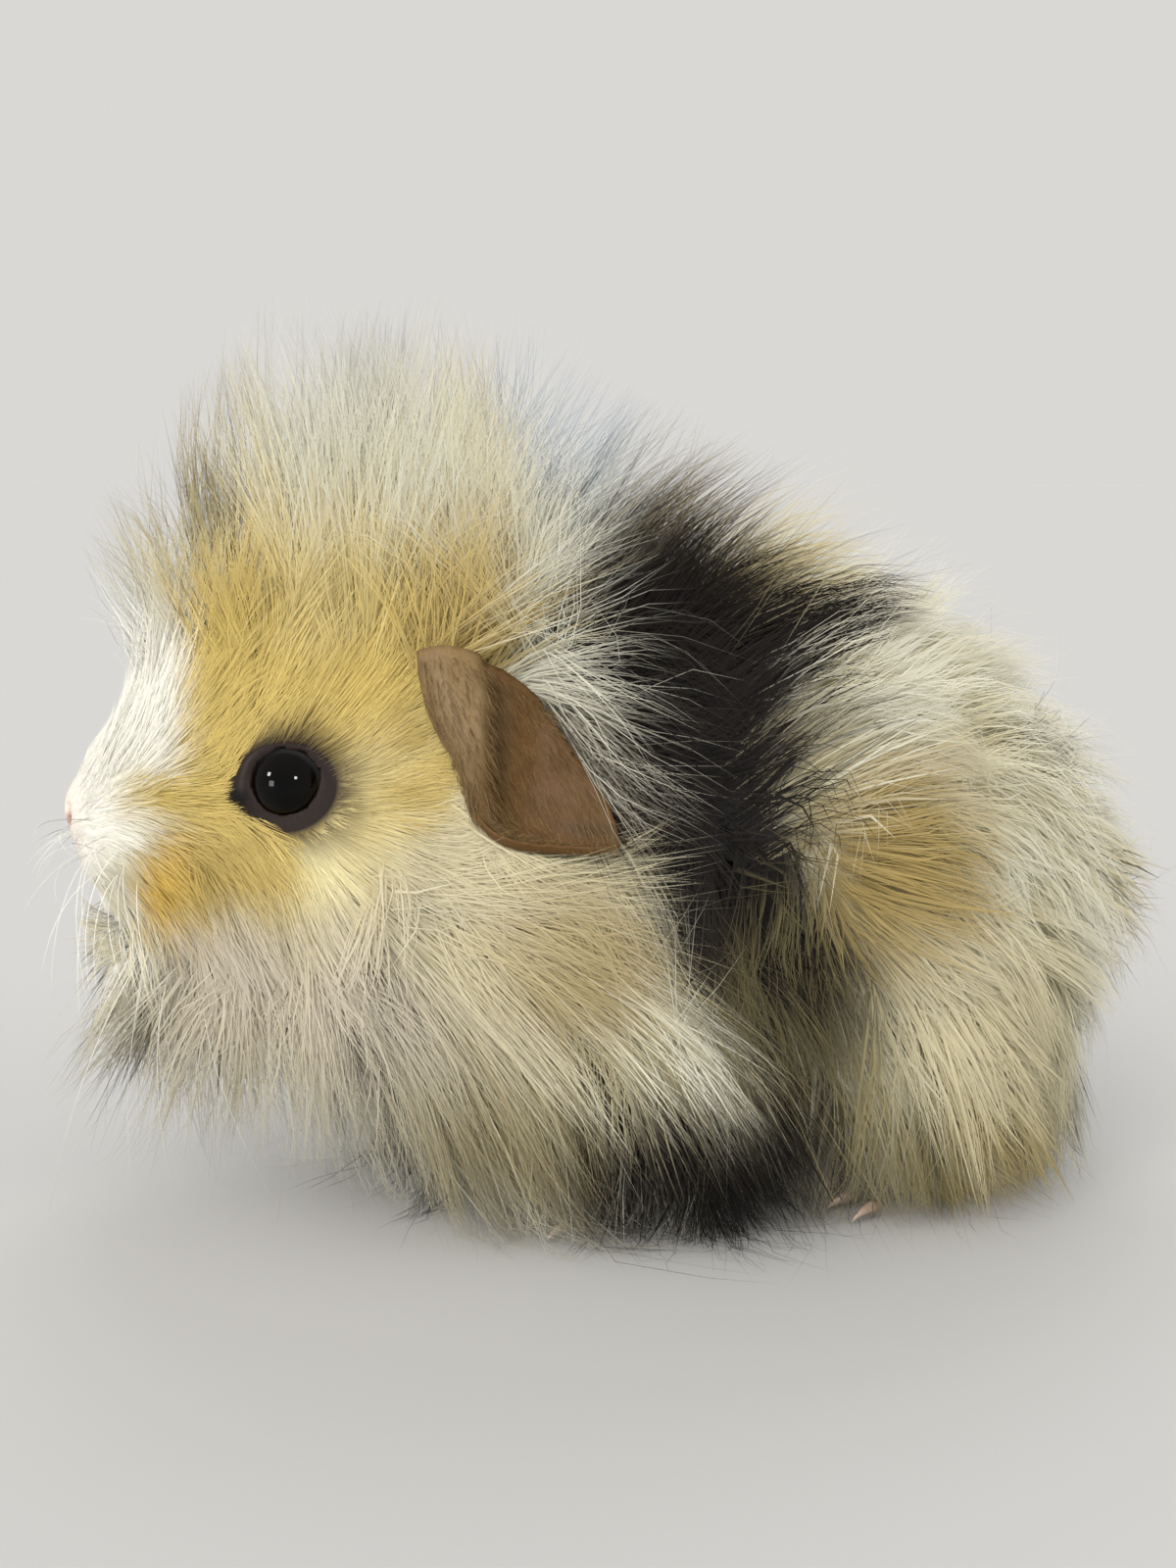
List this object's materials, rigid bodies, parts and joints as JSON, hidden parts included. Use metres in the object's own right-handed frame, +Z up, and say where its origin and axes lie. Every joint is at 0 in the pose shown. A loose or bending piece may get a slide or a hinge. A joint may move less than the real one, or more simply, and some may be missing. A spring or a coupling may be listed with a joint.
{
  "type": "guinea pig",
  "caption": "Life-size still model of a young long-haired guinea pig with a tall crest and whorled white, gold and black coat, standing on its four feet.",
  "frame": {"origin": "on the floor under the middle of the animal's box", "axes": "+X from the nose towards the rump, +Y to the animal's right, +Z up"},
  "size_m": [0.1314, 0.0916, 0.1031],
  "materials": {
    "coat_head": "long soft hair, gold and cream with a white blaze",
    "coat_neck": "long soft hair, cream and white",
    "coat_shoulders": "long soft hair, black ticked with gold",
    "coat_barrel": "long soft hair, gold over cream",
    "coat_rump": "long soft hair, cream and white",
    "leg_pale": "short hair over pale skin",
    "leg_dark": "short hair over dark skin",
    "skin": "bare skin, thin and soft",
    "eye": "wet dark eye",
    "claw": "smooth horn"
  },
  "bodies": {
    "root": {"head": "coat_head", "neck": "coat_neck", "shoulders": "coat_shoulders", "barrel": "coat_barrel", "hindquarters": "coat_rump", "nose": "skin", "eye_left": "eye", "ear_left": "skin", "foreleg_left": "leg_dark", "forefoot_left": "leg_dark", "foreclaw_left_1": "claw", "foreclaw_left_2": "claw", "foreclaw_left_3": "claw", "foreclaw_left_4": "claw", "hindleg_left": "leg_pale", "hindfoot_left": "leg_pale", "hindclaw_left_1": "claw", "hindclaw_left_2": "claw", "hindclaw_left_3": "claw", "eye_right": "eye", "ear_right": "skin", "foreleg_right": "leg_pale", "forefoot_right": "leg_pale", "foreclaw_right_1": "claw", "foreclaw_right_2": "claw", "foreclaw_right_3": "claw", "foreclaw_right_4": "claw", "hindleg_right": "leg_pale", "hindfoot_right": "leg_pale", "hindclaw_right_1": "claw", "hindclaw_right_2": "claw", "hindclaw_right_3": "claw"}
  },
  "joints": []
}
